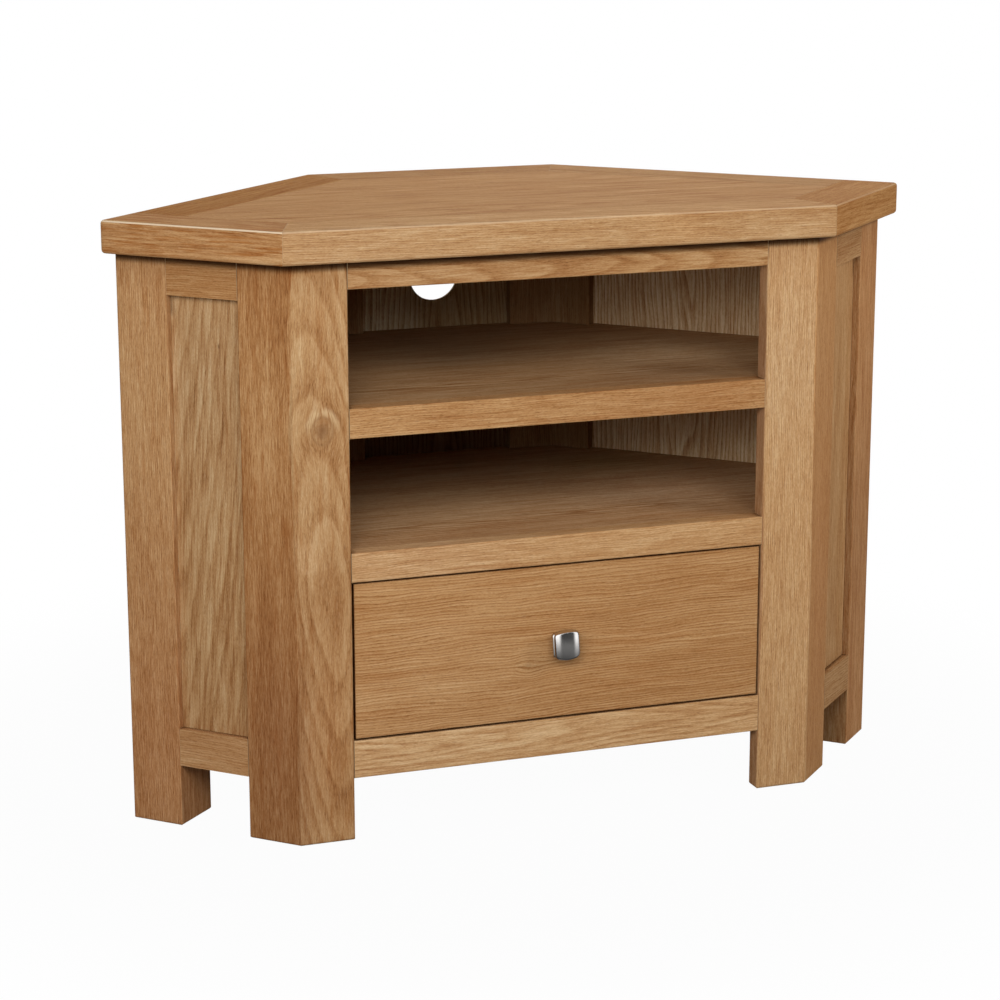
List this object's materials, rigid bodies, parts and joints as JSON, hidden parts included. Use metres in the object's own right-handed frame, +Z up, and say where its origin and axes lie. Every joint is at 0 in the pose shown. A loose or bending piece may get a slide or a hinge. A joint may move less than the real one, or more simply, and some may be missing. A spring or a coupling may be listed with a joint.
{
  "type": "corner tv cabinet",
  "caption": "Corner television cabinet in oak with a six-sided framed top, two open compartments, a cable hole and a dovetailed drawer.",
  "frame": {"origin": "on the floor under the middle of the cabinet's outer box", "axes": "+X to the right along the front, +Y towards the back, +Z up"},
  "size_m": [0.836, 0.424, 0.6],
  "materials": {
    "oak_top": "satin lacquered oak, grain along each board",
    "oak_frame": "satin lacquered solid oak",
    "oak_panel": "satin lacquered oak veneer panel",
    "oak_inside": "thinly lacquered oak",
    "satin_nickel": "satin nickel plate",
    "zinc_steel": "plain zinc plated steel"
  },
  "bodies": {
    "carcass": {"top_front_board": "oak_top", "right_top_side_board": "oak_top", "left_top_side_board": "oak_top", "right_top_rear_board": "oak_top", "left_top_rear_board": "oak_top", "top_back_board": "oak_top", "top_centre_panel": "oak_top", "right_front_post": "oak_frame", "left_front_post": "oak_frame", "right_side_post": "oak_frame", "left_side_post": "oak_frame", "right_back_post": "oak_frame", "left_back_post": "oak_frame", "front_top_rail": "oak_frame", "upper_shelf_lip": "oak_frame", "lower_shelf_lip": "oak_frame", "front_bottom_rail": "oak_frame", "right_side_top_rail": "oak_frame", "left_side_top_rail": "oak_frame", "right_side_bottom_rail": "oak_frame", "left_side_bottom_rail": "oak_frame", "right_side_panel": "oak_panel", "left_side_panel": "oak_panel", "right_rear_panel": "oak_panel", "left_rear_panel": "oak_panel", "back_panel": "oak_panel", "upper_shelf": "oak_inside", "lower_shelf": "oak_inside", "right_upper_side_cleat": "oak_inside", "left_upper_side_cleat": "oak_inside", "right_lower_side_cleat": "oak_inside", "left_lower_side_cleat": "oak_inside", "upper_back_cleat": "oak_inside", "lower_back_cleat": "oak_inside", "base_board": "oak_inside", "right_rear_top_rail": "oak_inside", "left_rear_top_rail": "oak_inside", "right_rear_bottom_rail": "oak_inside", "left_rear_bottom_rail": "oak_inside", "back_top_rail": "oak_inside", "back_bottom_rail": "oak_inside", "right_front_fixing_block": "oak_inside", "left_front_fixing_block": "oak_inside", "right_back_fixing_block": "oak_inside", "left_back_fixing_block": "oak_inside", "right_drawer_runner": "oak_inside", "left_drawer_runner": "oak_inside", "right_drawer_kicker": "oak_inside", "left_drawer_kicker": "oak_inside", "right_drawer_stop": "oak_inside", "left_drawer_stop": "oak_inside"},
    "drawer": {"drawer_front": "oak_frame", "right_drawer_side": "oak_inside", "left_drawer_side": "oak_inside", "drawer_back": "oak_inside", "drawer_bottom": "oak_panel", "drawer_knob": "satin_nickel", "knob_screw": "zinc_steel"}
  },
  "joints": [
    {"name": "drawer_slide", "type": "slide", "parent": "carcass", "child": "drawer", "axis": [0, -1, 0], "range_m": [0, 0.24]}
  ]
}
